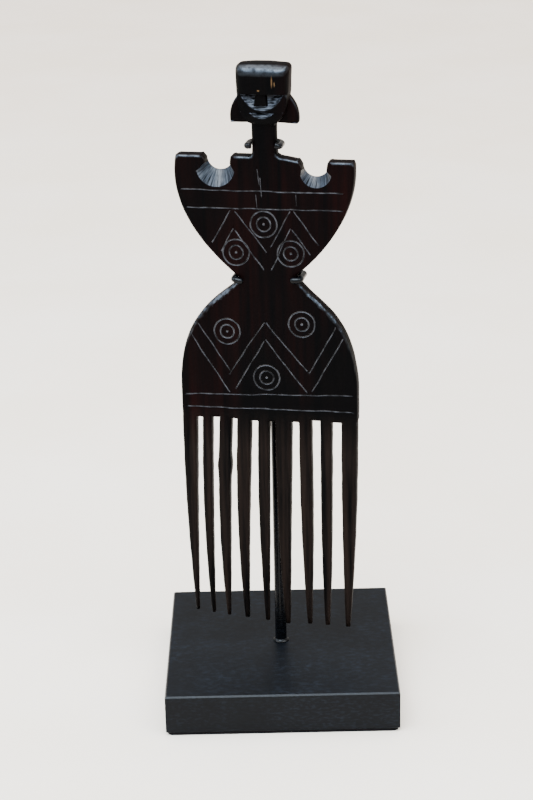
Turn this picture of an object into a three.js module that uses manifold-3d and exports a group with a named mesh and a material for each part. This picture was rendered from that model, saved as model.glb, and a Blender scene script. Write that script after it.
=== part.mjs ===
// A carved wooden hair comb with a small carved head, held upright on a display stand.
// The stand is a square block with a steel rod; two bent wire claws on the rod grip the comb at
// its waist and at its neck. The rod passes through the block and is held from below by a nut,
// so the rod, its claws and the comb can be turned about the upright axis.
//
// Units are millimetres. +Z is up, +X is to the right and the front faces -Y.
// The origin is the centre of the stand's underside, on the rod's axis.

import * as THREE from 'three';
import { mergeVertices } from 'three/addons/utils/BufferGeometryUtils.js';
import Module from 'manifold-3d';

const wasm = await Module();
wasm.setup();

// ---------------------------------------------------------------- driving dimensions

// Stand
const BASE_SIDE = 80;
const STAND_HEIGHT = 15; // block and felt together
const BASE_CHAMFER = 0.5;
const FELT_THICKNESS = 1;
const FELT_INSET = 0.5;
const FELT_CORNER_RADIUS = 2;

// Rod and its fixing, an M3 stud with a plain washer and a hexagon nut
const ROD_DIAMETER = 4;
const ROD_TOP = 200;
const ROD_TIP_CHAMFER = 0.5;
const ROD_SINK = 5; // length of full-diameter rod inside the block
const FOOT_RADIUS = 2.8; // a small flare around the rod, just above the block
const FOOT_RIM = 0.2; // height of the flare's upright rim
const FOOT_HEIGHT = 1;
const STUD_DIAMETER = 3;
const COUNTERBORE_DIAMETER = 10;
const COUNTERBORE_TOP = 6; // height of its ceiling above the table
const WASHER_DIAMETER = 7;
const WASHER_THICKNESS = 0.5;
const NUT_WIDTH = 5.5; // across flats
const NUT_HEIGHT = 2.4;
const STUD_PROUD = 0.8; // stud showing past the nut
const RUNNING_GAP = 0.1; // all round a shaft in its hole, and under the rod's foot

// Comb
const COMB_TURN = THREE.MathUtils.degToRad(12); // its right side stands nearer the viewer
const COMB_THICKNESS = 5.4;
const COMB_MIDDLE_Y = -7.6; // middle of the thickness, in front of the rod
const EDGE_CHAMFER = 0.8;
const SLOT_TOP = 103.8; // where the teeth begin
const WAIST_CLAW_HEIGHT = 153.15;
const WAIST_HALF_WIDTH = 9.9; // at the short upright flats in the bottom of the waist's two Vs
const NECK_X = -0.3; // the neck and the head stand a little off the middle
const NECK_HALF_WIDTH = 4.1;
const NECK_FOOT = 194; // where it rises from the shoulders
const NECK_DEPTH = 4.4; // flush with the body's front, thinner than the body behind
const NECK_CLAW_HEIGHT = 197.7;
const CHIN_HEIGHT = 204.8;
const BROW_HEIGHT = 214.5;
const HEAD_TOP = 223.9;
const HEAD_HALF_DEPTH = 5.2;
const BROW_HALF_WIDTH = 8.4;
const CROWN_HALF_WIDTH = 8.8; // the head's flat top is its widest level
const NOSE_X = -0.6;
const EAR_REACH = 11.2; // from the head's middle to an ear's lower corner
const EAR_TOP = 213.4;

// Claws
const WIRE_DIAMETER = 2;
const WIRE_GAP = 0.3; // between a wire and the wood
const BRAZE_GAP = 0.05; // between a wire and the rod
const WIRE_BACK_Y = -(ROD_DIAMETER / 2 + BRAZE_GAP + WIRE_DIAMETER / 2);
const WAIST_CLAW_REACH = WAIST_HALF_WIDTH + WIRE_GAP + WIRE_DIAMETER / 2;
const NECK_CLAW_REACH = NECK_HALF_WIDTH + WIRE_GAP + WIRE_DIAMETER / 2;

const UP = Math.PI / 2;
const FRONT = COMB_MIDDLE_Y - COMB_THICKNESS / 2;

// ---------------------------------------------------------------- shared helpers

// Turns a closed geometry into a solid that can be joined and cut.
function solid(geometry) {
  const bare = geometry.clone();
  bare.deleteAttribute('normal');
  bare.deleteAttribute('uv');
  const merged = mergeVertices(bare, 1e-4);
  return new wasm.Manifold(new wasm.Mesh({
    numProp: 3,
    vertProperties: new Float32Array(merged.attributes.position.array),
    triVerts: new Uint32Array(merged.index.array),
  }));
}

// Turns a solid back into a geometry with flat facets.
function geometryOf(body) {
  const mesh = body.getMesh();
  const geometry = new THREE.BufferGeometry();
  geometry.setAttribute('position', new THREE.BufferAttribute(new Float32Array(mesh.vertProperties), 3));
  geometry.setIndex(new THREE.BufferAttribute(new Uint32Array(mesh.triVerts), 1));
  geometry.computeVertexNormals();
  return geometry;
}

function part(name, geometry, color, roughness, metalness) {
  const mesh = new THREE.Mesh(geometry, new THREE.MeshStandardMaterial({ color, roughness, metalness }));
  mesh.name = name;
  return mesh;
}

// A solid of revolution about Z. The profile is a list of [radius, height] pairs.
function turned(profile, segments) {
  const points = profile.map(([radius, height]) => new THREE.Vector2(radius, height));
  return new THREE.LatheGeometry(points, segments).rotateX(UP);
}

// A flat plate, drawn in X and Z with its thickness along Y.
function plate(shape, { middleY, thickness, chamfer = 0, curveSegments = 12 }) {
  const geometry = new THREE.ExtrudeGeometry(shape, {
    depth: thickness - 2 * chamfer,
    bevelEnabled: chamfer > 0,
    bevelThickness: chamfer,
    bevelSize: chamfer,
    bevelOffset: -chamfer,
    bevelSegments: 1,
    curveSegments,
  });
  return geometry.translate(0, 0, chamfer - thickness / 2).rotateX(UP).translate(0, middleY, 0);
}

// An upright column with rounded, nearly rectangular level sections. section(t) gives the centre
// and the half sizes of the section, from t = 0 at the bottom to t = 1 at the top; a higher power
// makes the corners squarer.
function column({ bottom, top, sides, rows, power, section }) {
  const geometry = new THREE.CylinderGeometry(1, 1, 1, sides, rows, false, Math.PI / sides).rotateX(UP);
  const position = geometry.attributes.position;
  for (let i = 0; i < position.count; i += 1) {
    const x = position.getX(i);
    const y = position.getY(i);
    const t = position.getZ(i) + 0.5;
    const size = section(t);
    const round = Math.abs(x) ** power + Math.abs(y) ** power;
    const reach = round > 0 ? Math.hypot(x, y) * round ** (-1 / power) : 0;
    position.setXYZ(
      i,
      size.x + size.halfWidth * x * reach,
      size.y + size.halfDepth * y * reach,
      THREE.MathUtils.lerp(bottom, top, t),
    );
  }
  return geometry;
}

// ---------------------------------------------------------------- stand

function feltPad() {
  const half = BASE_SIDE / 2 - FELT_INSET;
  const r = FELT_CORNER_RADIUS;
  const outline = new THREE.Shape();
  outline.absarc(half - r, half - r, r, 0, Math.PI / 2);
  outline.absarc(r - half, half - r, r, Math.PI / 2, Math.PI);
  outline.absarc(r - half, r - half, r, Math.PI, 1.5 * Math.PI);
  outline.absarc(half - r, r - half, r, 1.5 * Math.PI, 2 * Math.PI);
  outline.holes.push(new THREE.Path().absarc(0, 0, COUNTERBORE_DIAMETER / 2, 0, 2 * Math.PI));
  return new THREE.ExtrudeGeometry(outline, {
    depth: FELT_THICKNESS,
    bevelEnabled: false,
    curveSegments: 6,
  });
}

// The block has one stepped hole: a close bore for the rod, a narrower bore for the stud, and a
// counterbore from below that leaves room for the washer and the nut.
function baseBlock() {
  const half = BASE_SIDE / 2;
  const outline = new THREE.Shape([
    new THREE.Vector2(-half, -half),
    new THREE.Vector2(half, -half),
    new THREE.Vector2(half, half),
    new THREE.Vector2(-half, half),
  ]);
  const block = new THREE.ExtrudeGeometry(outline, {
    depth: STAND_HEIGHT - FELT_THICKNESS - 2 * BASE_CHAMFER,
    bevelThickness: BASE_CHAMFER,
    bevelSize: BASE_CHAMFER,
    bevelOffset: -BASE_CHAMFER,
    bevelSegments: 1,
  }).translate(0, 0, FELT_THICKNESS + BASE_CHAMFER);

  const rodBore = ROD_DIAMETER / 2 + RUNNING_GAP;
  const studBore = STUD_DIAMETER / 2 + RUNNING_GAP;
  const spare = 1; // the cutter runs this far past the block's faces
  const hole = turned([
    [0, FELT_THICKNESS - spare],
    [COUNTERBORE_DIAMETER / 2, FELT_THICKNESS - spare],
    [COUNTERBORE_DIAMETER / 2, COUNTERBORE_TOP],
    [studBore, COUNTERBORE_TOP],
    [studBore, STAND_HEIGHT - ROD_SINK],
    [rodBore, STAND_HEIGHT - ROD_SINK],
    [rodBore, STAND_HEIGHT + spare],
    [0, STAND_HEIGHT + spare],
  ], 32);
  return geometryOf(solid(block).subtract(solid(hole)));
}

// A full-diameter rod with a small flared foot on the block, which steps down to a stud inside it.
function supportRod() {
  const rod = ROD_DIAMETER / 2;
  const stud = STUD_DIAMETER / 2;
  const studEnd = COUNTERBORE_TOP - WASHER_THICKNESS - NUT_HEIGHT - STUD_PROUD;
  const foot = STAND_HEIGHT + RUNNING_GAP;
  return turned([
    [0, studEnd],
    [stud, studEnd],
    [stud, STAND_HEIGHT - ROD_SINK],
    [rod, STAND_HEIGHT - ROD_SINK],
    [rod, foot],
    [FOOT_RADIUS, foot],
    [FOOT_RADIUS, foot + FOOT_RIM],
    [(rod + FOOT_RADIUS) / 2, foot + FOOT_HEIGHT / 2],
    [rod, foot + FOOT_HEIGHT],
    [rod, ROD_TOP - ROD_TIP_CHAMFER],
    [rod - ROD_TIP_CHAMFER, ROD_TOP],
    [0, ROD_TOP],
  ], 24);
}

function washer() {
  const inner = STUD_DIAMETER / 2 + RUNNING_GAP;
  const outer = WASHER_DIAMETER / 2;
  const bottom = COUNTERBORE_TOP - WASHER_THICKNESS;
  return turned([
    [inner, bottom],
    [outer, bottom],
    [outer, COUNTERBORE_TOP],
    [inner, COUNTERBORE_TOP],
    [inner, bottom],
  ], 24);
}

function fixingNut() {
  const cornerRadius = NUT_WIDTH / Math.sqrt(3);
  const corners = [];
  for (let i = 0; i < 6; i += 1) {
    const angle = (i * Math.PI) / 3;
    corners.push(new THREE.Vector2(Math.cos(angle), Math.sin(angle)).multiplyScalar(cornerRadius));
  }
  const outline = new THREE.Shape(corners);
  outline.holes.push(new THREE.Path().absarc(0, 0, STUD_DIAMETER / 2 + RUNNING_GAP, 0, 2 * Math.PI));
  return new THREE.ExtrudeGeometry(outline, {
    depth: NUT_HEIGHT,
    bevelEnabled: false,
    curveSegments: 12,
  }).translate(0, 0, COUNTERBORE_TOP - WASHER_THICKNESS - NUT_HEIGHT);
}

// ---------------------------------------------------------------- claws

// One round wire, bent flat: its middle lies against the front of the rod, each arm runs out
// behind the comb, forward past its side, and then a short way in over the comb's front. elbows are
// the arm's [side, y] corners behind the comb, and slant is how much higher the right arm stands
// than the middle.
function claw({ x, height, slant, reach, tip, elbows }) {
  const radius = WIRE_DIAMETER / 2;
  const bend = 1.4;
  const frontY = FRONT - WIRE_GAP - radius;
  const corners = [[tip, frontY], [reach, frontY], ...elbows];
  const points = [
    ...corners.map(([side, y]) => new THREE.Vector3(-side, y, 0)),
    ...corners.map(([side, y]) => new THREE.Vector3(side, y, 0)).reverse(),
  ];

  const path = new THREE.CurvePath();
  let from = points[0];
  for (let i = 1; i < points.length - 1; i += 1) {
    const over = points[i];
    const before = from.clone().sub(over).setLength(bend).add(over);
    const after = points[i + 1].clone().sub(over).setLength(bend).add(over);
    path.add(new THREE.LineCurve3(from, before));
    path.add(new THREE.QuadraticBezierCurve3(before, over, after));
    from = after;
  }
  path.add(new THREE.LineCurve3(from, points.at(-1)));

  const section = new THREE.Shape().absarc(0, 0, radius, 0, 2 * Math.PI);
  return new THREE.ExtrudeGeometry(section, { extrudePath: path, steps: 72, curveSegments: 5 })
    .rotateY(-Math.asin(slant / reach))
    .translate(x, 0, height);
}

// ---------------------------------------------------------------- comb

// The two U-shaped notches in the shoulders. Each is cut square through the back face, its two sides
// lean apart by splay, and below its widest point it is bevelled down towards a larger arc in the
// front face.
const NOTCHES = [
  { x: -15.8, z: 192.6, radius: 4.3, splay: [0.9, 0.2], frontX: -16.4, frontZ: 190, frontRadius: 6.4 },
  { x: 15.9, z: 191, radius: 4.2, splay: [0.8, 0.3], frontX: 16.6, frontZ: 189.4, frontRadius: 5.2 },
];

// The nine hand-cut teeth: where each leaves the body, where its middle and its point are, its
// width at the root, the power of its taper and the width of its blunt point.
const TEETH = [
  { root: -28.2, middle: -28.6, tip: -28.1, tipHeight: 28.8, width: 4.8, power: 1.6, tipWidth: 1.1 },
  { root: -21.9, middle: -22.9, tip: -22.3, tipHeight: 28.1, width: 3.2, power: 3, tipWidth: 1.1 },
  { root: -15.6, middle: -17.1, tip: -16.8, tipHeight: 27.5, width: 4.2, power: 3, tipWidth: 1.1 },
  { root: -9.1, middle: -10.5, tip: -10.2, tipHeight: 27.2, width: 4.7, power: 2.4, tipWidth: 1.5 },
  { root: -2.5, middle: -3.2, tip: -2.9, tipHeight: 26.6, width: 3.9, power: 2.3, tipWidth: 1.4 },
  { root: 4.3, middle: 3.9, tip: 4.4, tipHeight: 25.9, width: 5.5, power: 2, tipWidth: 1.5 },
  { root: 11.7, middle: 11.8, tip: 12.2, tipHeight: 26.4, width: 4.2, power: 3.2, tipWidth: 1.5 },
  { root: 18.8, middle: 18.6, tip: 18.5, tipHeight: 26.5, width: 3.9, power: 3, tipWidth: 1.5 },
  { root: 26.8, middle: 26.4, tip: 25.7, tipHeight: 26.4, width: 5.3, power: 2.6, tipWidth: 1.5 },
];
const TOOTH_DEPTH = 4.8; // front to back at the root

// Follows a notch from its right side round to its left side.
function cutNotch(shape, { x, z, radius, splay }, top) {
  shape.lineTo(x + radius + splay[1], top);
  shape.absarc(x, z, radius, 0, -Math.PI, true);
  shape.lineTo(x - radius - splay[0], top);
}

// The body's outline: a rounded lower body, a narrow waist and wide shoulders. Its two sides were
// cut by eye and differ a little, so each side has its own handles.
function bodyShape() {
  const left = { foot: -30.6, hip: 115, waist: [151.9, 153.5], shoulder: -29.7, top: 194 };
  const right = { foot: 29.7, hip: 116.8, waist: [152.7, 154.7], shoulder: 28.9, top: 192.8 };
  const shape = new THREE.Shape();
  shape.moveTo(left.foot, SLOT_TOP);
  shape.lineTo(right.foot, SLOT_TOP);
  shape.lineTo(right.foot, right.hip);
  shape.bezierCurveTo(27.7, 141.9, 17.2, 143.1, WAIST_HALF_WIDTH, right.waist[0]);
  shape.lineTo(WAIST_HALF_WIDTH, right.waist[1]);
  shape.bezierCurveTo(18.5, 161.8, 30.4, 175.7, right.shoulder, right.top);
  cutNotch(shape, NOTCHES[1], right.top);
  shape.lineTo(NECK_X + NECK_HALF_WIDTH, NECK_FOOT);
  shape.lineTo(NECK_X - NECK_HALF_WIDTH, NECK_FOOT);
  cutNotch(shape, NOTCHES[0], left.top);
  shape.lineTo(left.shoulder, left.top);
  shape.bezierCurveTo(-33.3, 174.7, -17.3, 159.5, -WAIST_HALF_WIDTH, left.waist[1]);
  shape.lineTo(-WAIST_HALF_WIDTH, left.waist[0]);
  shape.bezierCurveTo(-17.9, 144.9, -30.1, 140.1, left.foot, left.hip);
  return shape;
}

// The cutter for a notch's bevel: a slanting half cone, which widens from the notch's own arc in
// the back face to the larger arc in the front face and has a flat top just below the arc centres.
function notchBevel({ x, z, radius, frontX, frontZ, frontRadius }) {
  const reach = 1; // the cutter starts this far in front of the comb
  const lowered = 1.3; // the flat top lies this far below the arc centres
  const cutter = new THREE.CylinderGeometry(1, 1, 1, 32).rotateX(Math.PI);
  const position = cutter.attributes.position;
  const back = COMB_MIDDLE_Y + COMB_THICKNESS / 2;
  for (let i = 0; i < position.count; i += 1) {
    const t = (0.5 - position.getY(i)) * (1 + reach / COMB_THICKNESS);
    const size = THREE.MathUtils.lerp(radius, frontRadius, t);
    position.setXYZ(
      i,
      THREE.MathUtils.lerp(x, frontX, t) + size * position.getX(i),
      back - t * COMB_THICKNESS,
      THREE.MathUtils.lerp(z, frontZ, t) + Math.min(-lowered, size * position.getZ(i)),
    );
  }
  return cutter;
}

// A tooth keeps most of its width for half its length and then runs out to a blunt point.
function tooth({ root, middle, tip, tipHeight, width, power, tipWidth }) {
  const seated = 2; // length of the root inside the body
  const centre = new THREE.QuadraticBezierCurve(
    new THREE.Vector2(tip, 0),
    new THREE.Vector2(2 * middle - (root + tip) / 2, 0.5),
    new THREE.Vector2(root, 1),
  );
  return column({
    bottom: tipHeight,
    top: SLOT_TOP + seated,
    sides: 8,
    rows: 9,
    power: 4,
    section: (t) => ({
      x: centre.getPoint(t).x,
      y: COMB_MIDDLE_Y,
      halfWidth: THREE.MathUtils.lerp(tipWidth, width, 1 - (1 - t) ** power) / 2,
      halfDepth: (TOOTH_DEPTH / 2) * (1 - 0.65 * (1 - t) ** 2),
    }),
  });
}

function neck() {
  const seated = 2; // length of each end inside the shoulders and the head
  return column({
    bottom: NECK_FOOT - seated,
    top: CHIN_HEIGHT + seated,
    sides: 16,
    rows: 1,
    power: 4,
    section: () => ({
      x: NECK_X,
      y: FRONT + NECK_DEPTH / 2,
      halfWidth: NECK_HALF_WIDTH,
      halfDepth: NECK_DEPTH / 2,
    }),
  });
}

// The upper head is a flat-topped block that widens slightly upwards and has a rounded top edge.
function cranium() {
  const rim = 1.2;
  const height = HEAD_TOP - BROW_HEIGHT;
  return column({
    bottom: BROW_HEIGHT,
    top: HEAD_TOP,
    sides: 28,
    rows: 12,
    power: 3.4,
    section: (t) => {
      const over = Math.max(0, (t - 1) * height + rim) / rim;
      const inset = rim * (1 - Math.sqrt(1 - over * over));
      return {
        x: NECK_X,
        y: COMB_MIDDLE_Y,
        halfWidth: THREE.MathUtils.lerp(BROW_HALF_WIDTH, CROWN_HALF_WIDTH, t) - inset,
        halfDepth: HEAD_HALF_DEPTH - inset,
      };
    },
  });
}

// Below the brow the face is cut back and narrows in a U to the chin.
function face() {
  const seated = 0.5; // height of the top inside the upper head
  const setBack = 0.4; // its middle stands this much behind the comb's
  return column({
    bottom: CHIN_HEIGHT,
    top: BROW_HEIGHT + seated,
    sides: 28,
    rows: 6,
    power: 2.6,
    section: (t) => ({
      x: NECK_X,
      y: COMB_MIDDLE_Y + setBack,
      halfWidth: THREE.MathUtils.lerp(4.2, 8.1, Math.sqrt(t)),
      halfDepth: THREE.MathUtils.lerp(3.4, 4.3, Math.sin(t * Math.PI)),
    }),
  });
}

// A short wedge that widens downwards and is seated in the brow.
function nose() {
  const top = BROW_HEIGHT + 0.4;
  const bottom = BROW_HEIGHT - 3.6;
  const outline = new THREE.Shape([
    new THREE.Vector2(NOSE_X - 1.6, top),
    new THREE.Vector2(NOSE_X - 2.1, bottom),
    new THREE.Vector2(NOSE_X + 2.1, bottom),
    new THREE.Vector2(NOSE_X + 1.6, top),
  ]);
  return plate(outline, { middleY: COMB_MIDDLE_Y - 3.2, thickness: 3.4 });
}

// An ear has a straight lower edge and a rounded outer edge, and runs into the head.
function ear(side) {
  const outline = new THREE.Shape();
  const from = (reach) => NECK_X + side * reach;
  outline.moveTo(from(4), CHIN_HEIGHT);
  outline.lineTo(from(EAR_REACH), CHIN_HEIGHT);
  outline.bezierCurveTo(from(EAR_REACH), 208.6, from(10.5), 211, from(8), EAR_TOP);
  outline.lineTo(from(4), EAR_TOP);
  return plate(outline, { middleY: COMB_MIDDLE_Y + 1, thickness: 3, chamfer: 0.4, curveSegments: 8 });
}

// The comb is carved from one board, so every part of it is one solid.
function comb() {
  const bodyPlate = plate(bodyShape(), {
    middleY: COMB_MIDDLE_Y,
    thickness: COMB_THICKNESS,
    chamfer: EDGE_CHAMFER,
    curveSegments: 14,
  });
  const pieces = [bodyPlate, neck(), cranium(), face(), nose(), ear(-1), ear(1), ...TEETH.map(tooth)];
  const joined = pieces.map(solid).reduce((whole, piece) => whole.add(piece));
  const bevels = NOTCHES.map(notchBevel).map(solid);
  return geometryOf(bevels.reduce((whole, bevel) => whole.subtract(bevel), joined));
}

// ---------------------------------------------------------------- assembly

const stand = new THREE.Group();
stand.add(
  part('felt_pad', feltPad(), 0x16161a, 0.95, 0),
  part('base_block', baseBlock(), 0x2a2d31, 0.45, 0),
  part('washer', washer(), 0xa9abad, 0.35, 1),
);

// Everything that turns with the rod.
const swivel = new THREE.Group();
swivel.rotation.z = -COMB_TURN;
swivel.add(
  part('support_rod', supportRod(), 0x1c1d1f, 0.4, 0.6),
  part('fixing_nut', fixingNut(), 0xa2a4a6, 0.35, 1),
  part('waist_claw', claw({
    x: 0,
    height: WAIST_CLAW_HEIGHT,
    slant: 0.3,
    reach: WAIST_CLAW_REACH,
    tip: 8.6,
    elbows: [[WAIST_CLAW_REACH, WIRE_BACK_Y]],
  }), 0x17181a, 0.35, 0.6),
  part('neck_claw', claw({
    x: NECK_X,
    height: NECK_CLAW_HEIGHT,
    slant: 0,
    reach: NECK_CLAW_REACH,
    tip: 3.6,
    elbows: [[NECK_CLAW_REACH, FRONT + NECK_DEPTH + 0.1], [1.6, WIRE_BACK_Y]],
  }), 0x17181a, 0.35, 0.6),
  part('comb', comb(), 0x1a0f0d, 0.38, 0),
);

const displayedComb = new THREE.Group();
displayedComb.add(stand, swivel);

export default displayedComb;
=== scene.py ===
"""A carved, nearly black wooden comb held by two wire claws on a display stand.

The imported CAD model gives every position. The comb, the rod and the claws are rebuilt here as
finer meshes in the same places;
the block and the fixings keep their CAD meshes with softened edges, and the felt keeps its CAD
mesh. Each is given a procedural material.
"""

import math

import bmesh
import bpy
import numpy as np
from mathutils import Matrix, Vector
from mathutils.geometry import delaunay_2d_cdt


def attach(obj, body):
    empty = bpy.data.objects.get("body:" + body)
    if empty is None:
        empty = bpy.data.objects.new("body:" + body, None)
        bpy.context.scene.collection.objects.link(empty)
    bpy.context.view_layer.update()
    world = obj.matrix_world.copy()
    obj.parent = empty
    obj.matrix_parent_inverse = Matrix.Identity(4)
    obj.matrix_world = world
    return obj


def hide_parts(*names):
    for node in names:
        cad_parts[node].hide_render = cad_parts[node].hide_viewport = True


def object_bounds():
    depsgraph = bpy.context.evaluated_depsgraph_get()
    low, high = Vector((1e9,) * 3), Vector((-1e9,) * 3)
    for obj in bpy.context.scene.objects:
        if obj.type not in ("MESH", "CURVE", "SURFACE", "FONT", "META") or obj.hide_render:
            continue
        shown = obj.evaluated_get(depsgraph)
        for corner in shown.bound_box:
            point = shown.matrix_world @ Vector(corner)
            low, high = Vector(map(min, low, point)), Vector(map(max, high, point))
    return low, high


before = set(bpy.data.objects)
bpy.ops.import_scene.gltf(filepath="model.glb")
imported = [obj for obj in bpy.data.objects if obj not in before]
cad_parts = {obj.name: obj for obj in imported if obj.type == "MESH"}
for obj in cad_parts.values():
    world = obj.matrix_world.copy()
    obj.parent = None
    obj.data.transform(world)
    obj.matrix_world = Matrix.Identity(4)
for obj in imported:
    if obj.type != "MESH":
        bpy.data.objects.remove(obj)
cad_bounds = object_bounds()

MM = 0.001
COMB_TURN = math.radians(12)  # the comb's right side stands nearer the viewer


# -------------------- measures taken from the frame
# The comb, the rod and the claws are modelled in millimetres in a frame turned square to the comb:
# x runs to the right along its face, y runs back and z is up from the table.

def comb_box(node):
    """Lowest and highest corner of a CAD node in the comb's own frame, in millimetres."""
    points = np.array([v.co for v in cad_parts[node].data.vertices]) / MM
    cos, sin = math.cos(COMB_TURN), math.sin(COMB_TURN)
    x = points[:, 0] * cos - points[:, 1] * sin
    y = points[:, 0] * sin + points[:, 1] * cos
    turned = np.stack([x, y, points[:, 2]], axis=1)
    return turned.min(axis=0), turned.max(axis=0)


comb_low, comb_high = comb_box("comb")
rod_low, rod_high = comb_box("support_rod")
waist_wire_low, waist_wire_high = comb_box("waist_claw")
neck_wire_low, neck_wire_high = comb_box("neck_claw")
_, block_high = comb_box("base_block")

MIDDLE_Y = (comb_low[1] + comb_high[1]) / 2  # middle of the comb's thickness
HEAD_TOP = comb_high[2]
TEETH_END = comb_low[2]
LEVEL = (waist_wire_low[2] + waist_wire_high[2]) / 2 + 0.1  # just above the wire in the waist
SHOULDER = HEAD_TOP - 29.9
CHIN = HEAD_TOP - 19.1
BROW = HEAD_TOP - 9.4
SLOT_TOP = LEVEL - 49.5
BODY_HALF = 2.7  # half of the board's thickness
TOOTH_HALF = 2.45  # half of the teeth's thickness at their roots
NECK_X = -0.3  # the neck and the head stand a little off the middle
NECK_HALF_WIDTH = 4.1
NECK_DEPTH = 4.4
WAIST_HALF_WIDTH = 9.9  # at the short upright flats in the bottom of the waist's two Vs


# -------------------- small geometry helpers

def bezier(p0, p1, p2, p3, count):
    """Points on a cubic curve, without its last point."""
    t = np.linspace(0, 1, count, endpoint=False)[:, None]
    p0, p1, p2, p3 = (np.array(p, float) for p in (p0, p1, p2, p3))
    return (1 - t) ** 3 * p0 + 3 * (1 - t) ** 2 * t * p1 + 3 * (1 - t) * t * t * p2 + t ** 3 * p3


def line(start, end, step):
    """Evenly spaced points from start towards end, without the end."""
    start, end = np.array(start, float), np.array(end, float)
    count = max(1, round(float(np.linalg.norm(end - start)) / step))
    return start + (end - start) * np.linspace(0, 1, count, endpoint=False)[:, None]


def arc(centre, radius, start, end, count):
    """Points on an arc between two angles in degrees, both ends included."""
    angle = np.radians(np.linspace(start, end, count))
    x = centre[0] + radius * np.cos(angle)
    return np.stack([x, centre[1] + radius * np.sin(angle)], axis=1)


def segments(path, closed):
    """Start and end points of the straight pieces of a path."""
    ends = np.roll(path, -1, axis=0)
    return (path, ends) if closed else (path[:-1], ends[:-1])


def joined(pairs):
    """The segments of several paths as one pair of starts and ends."""
    return [np.concatenate(group) for group in zip(*pairs)]


def distance(points, pieces):
    """Distance from each point to the nearest segment; pieces are the segments' starts and ends."""
    starts, ends = pieces
    along = ends - starts
    length2 = np.maximum((along ** 2).sum(axis=1), 1e-12)
    result = np.empty(len(points))
    block = 1500  # points handled at once, which keeps the arrays small
    for first in range(0, len(points), block):
        offset = points[first:first + block, None, :] - starts[None]
        t = np.clip((offset * along[None]).sum(axis=2) / length2, 0, 1)
        gap = offset - t[..., None] * along[None]
        result[first:first + block] = np.sqrt((gap ** 2).sum(axis=2)).min(axis=1)
    return result


def inside(points, outline):
    """Which points lie inside a closed outline."""
    starts, ends = segments(outline, closed=True)
    result = np.zeros(len(points), bool)
    for (x0, z0), (x1, z1) in zip(starts, ends):
        if z0 == z1:
            continue
        crosses = (points[:, 1] >= min(z0, z1)) & (points[:, 1] < max(z0, z1))
        result ^= crosses & (points[:, 0] < x0 + (points[:, 1] - z0) * (x1 - x0) / (z1 - z0))
    return result


def smoothstep(low, high, value):
    t = np.clip((value - low) / (high - low), 0, 1)
    return t * t * (3 - 2 * t)


def wander(x, z, scale, seed):
    """Smooth, repeatable unevenness between about -1 and 1, with features about scale wide."""
    u, v = x / scale, z / scale
    total = np.sin(u * 2.1 + seed) * np.cos(v * 1.7 - 1.3 * seed)
    total = total + 0.6 * np.sin(u * 3.7 - v * 2.9 + 2.7 * seed)
    return total + 0.4 * np.cos(u * 6.1 + v * 5.3 + 0.9 * seed)


# -------------------- the comb's outline

# The notches in the shoulders: the arc in the back face, how far each side leans out above it, and
# the larger arc in the front face.
NOTCHES = (
    {"x": -15.8, "z": SHOULDER - 1.4, "radius": 4.3, "splay": (0.9, 0.2),
     "front_x": -16.4, "front_z": SHOULDER - 4, "front_radius": 6.4},
    {"x": 15.9, "z": SHOULDER - 3, "radius": 4.2, "splay": (0.8, 0.3),
     "front_x": 16.6, "front_z": SHOULDER - 4.6, "front_radius": 5.2},
)
NOTCH_END = 1.3  # how far below the arc centres the bevel stops

# The nine teeth: x at the root, the middle and the point, how far the point ends above the longest
# tooth's, the width at the root, the power of its taper and the width of the blunt point.
TEETH = (
    (-28.2, -28.6, -28.1, 2.9, 4.8, 1.6, 1.1),
    (-21.9, -22.9, -22.3, 2.2, 3.2, 3.0, 1.1),
    (-15.6, -17.1, -16.8, 1.6, 4.2, 3.0, 1.1),
    (-9.1, -10.5, -10.2, 1.3, 4.7, 2.4, 1.5),
    (-2.5, -3.2, -2.9, 0.7, 3.9, 2.3, 1.4),
    (4.3, 3.9, 4.4, 0.0, 5.5, 2.0, 1.5),
    (11.7, 11.8, 12.2, 0.5, 4.2, 3.2, 1.5),
    (18.8, 18.6, 18.5, 0.6, 3.9, 3.0, 1.5),
    (26.8, 26.4, 25.7, 0.5, 5.3, 2.6, 1.5),
)
TOOTH_SEAT = 2  # the teeth's curves run this far into the body
TIP_BEVEL = 0.25  # height of the bevel beside each point
SLOT_DROPS = (1.0, 0.6, 0.9, 1.5, 0.9, 1.0, 0.0, 0.6)  # how far below SLOT_TOP each slot ends
KNOT_TOOTH = 2  # index of the tooth that swells around a knot
KNOT_HEIGHT = 85


def tooth_edge(index, side, top):
    """One edge of a tooth, from a height down to its point; side is -1 for left and 1 for right."""
    root, middle, tip, lift, width, power, tip_width = TEETH[index]
    end = TEETH_END + lift
    z = np.linspace(top, end + TIP_BEVEL, 46)
    t = (z - end) / (SLOT_TOP + TOOTH_SEAT - end)
    handle = 2 * middle - (root + tip) / 2
    centre = (1 - t) ** 2 * tip + 2 * t * (1 - t) * handle + t * t * root
    half = tip_width / 2 + (width - tip_width) / 2 * (1 - (1 - t) ** power)
    if index == KNOT_TOOTH:
        half = half + 0.4 * np.exp(-((z - KNOT_HEIGHT) / 3) ** 2)
    uneven = 0.06 * wander(z, z, 8.5 - 0.5 * side, index + 10 + 10 * side) * smoothstep(0, 0.1, t)
    return np.stack([centre + side * half + uneven, z], axis=1)


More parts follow.
